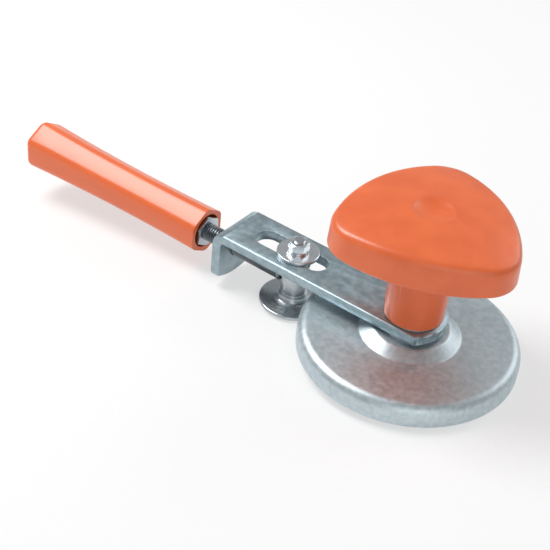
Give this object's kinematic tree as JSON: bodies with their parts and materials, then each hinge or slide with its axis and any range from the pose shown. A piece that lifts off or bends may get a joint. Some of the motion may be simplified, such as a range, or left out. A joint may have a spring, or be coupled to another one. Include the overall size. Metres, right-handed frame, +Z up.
{
  "type": "can seamer",
  "caption": "Hand-operated jar lid seamer: press disc under a palm knob, slotted lever, screw grip and a spinning seaming roller fed in under the rim.",
  "frame": {"origin": "centre of the press disc's lid recess, at the lower edge of its rim", "axes": "+Z up along the disc's axis towards the palm knob, -X along the lever towards the grip"},
  "size_m": [0.2538, 0.0906, 0.0756],
  "materials": {
    "zinc_sheet": "matte zinc plating on sheet steel",
    "bright_zinc": "bright zinc plating on small fasteners",
    "turned_steel": "turned steel with fine tool marks",
    "dark_steel": "blackened steel",
    "bronze": "sintered bronze",
    "orange_plastic": "moulded plastic with a soft gloss"
  },
  "bodies": {
    "press": {"press_disc": "zinc_sheet", "palm_knob": "orange_plastic", "knob_insert": "turned_steel", "centre_bolt": "dark_steel", "bolt_washer": "bright_zinc", "pivot_bush": "turned_steel", "lower_thrust_washer": "dark_steel", "upper_thrust_washer": "dark_steel"},
    "lever": {"lever_arm": "zinc_sheet"},
    "slider": {"roller_axle": "turned_steel", "slide_washer": "bright_zinc", "slide_lock_washer": "bright_zinc", "slide_nut": "bright_zinc", "retaining_pin": "turned_steel", "roller_washer": "bright_zinc", "roller_screw": "dark_steel"},
    "screw": {"feed_screw": "dark_steel", "grip": "orange_plastic", "captive_nut": "turned_steel", "lock_nut": "bright_zinc", "grip_washer": "bright_zinc"},
    "roller": {"roller": "turned_steel", "roller_bush": "bronze"}
  },
  "joints": [
    {"name": "lever_turn", "type": "hinge", "parent": "press", "child": "lever", "pos_m": [0, 0, 0.0165], "axis": [0, 0, 1], "continuous": true},
    {"name": "roller_slide", "type": "slide", "parent": "lever", "child": "slider", "axis": [1, 0, 0], "range_m": [-0.015, 0.005]},
    {"name": "screw_turn", "type": "hinge", "parent": "slider", "child": "screw", "pos_m": [-0.0572, 0, 0.0062], "axis": [1, 0, 0], "range_deg": [-4321, 1441]},
    {"name": "roller_spin", "type": "hinge", "parent": "slider", "child": "roller", "pos_m": [-0.0572, 0, 0], "axis": [0, 0, 1], "continuous": true}
  ],
  "couplings": [
    {"joint": "screw_turn", "follows": "roller_slide", "rad_per_m": 5026.5}
  ]
}
